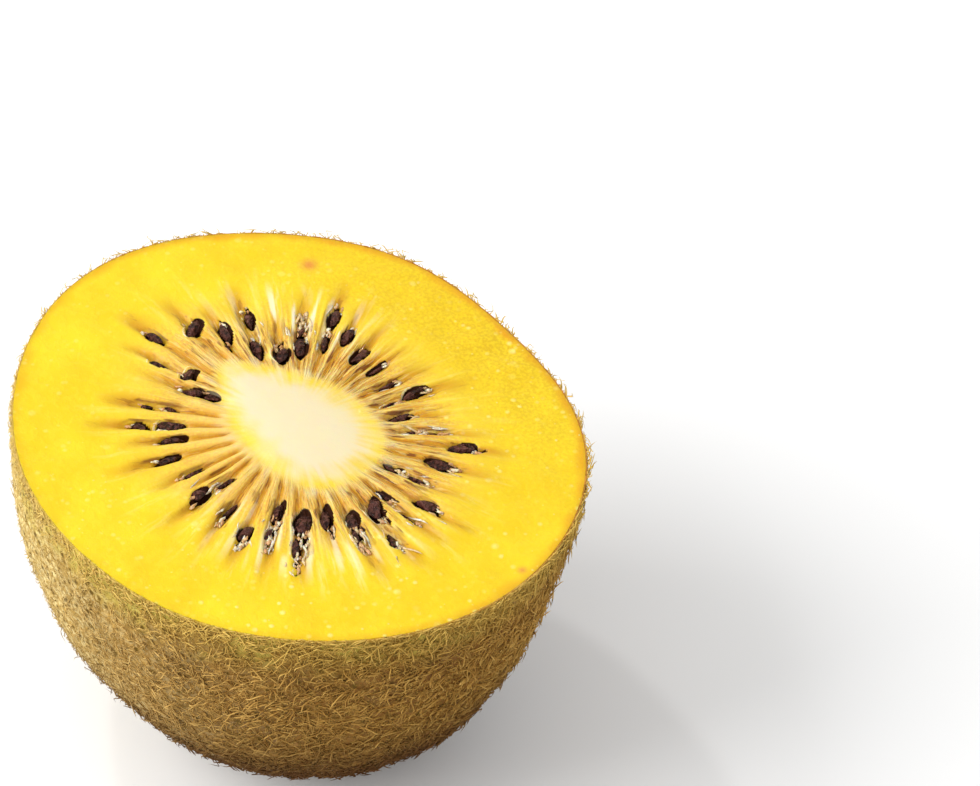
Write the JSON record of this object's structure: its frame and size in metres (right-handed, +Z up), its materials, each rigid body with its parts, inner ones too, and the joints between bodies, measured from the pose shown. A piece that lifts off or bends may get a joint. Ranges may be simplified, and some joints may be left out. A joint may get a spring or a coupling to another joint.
{
  "type": "halved golden kiwi fruit",
  "caption": "Half of a golden kiwi fruit, cut across its middle: hairy brown skin, yellow flesh with dark seeds in rays round a pale core. It stands on its rounded end, cut face up.",
  "frame": {"origin": "on the surface the half stands on, under the middle of its bounding box", "axes": "+Z up, square to the cut face; +X along the long way of the oval section; +Y across it"},
  "size_m": [0.0583, 0.0503, 0.0355],
  "materials": {
    "skin": "matt, hairy, tan-brown",
    "flesh": "moist, golden yellow",
    "core": "moist, cream",
    "seed": "glossy, near-black brown",
    "hair": "dull, golden brown"
  },
  "bodies": {
    "root": {"skin": "skin", "flesh": "flesh", "core": "core"}
  },
  "joints": []
}
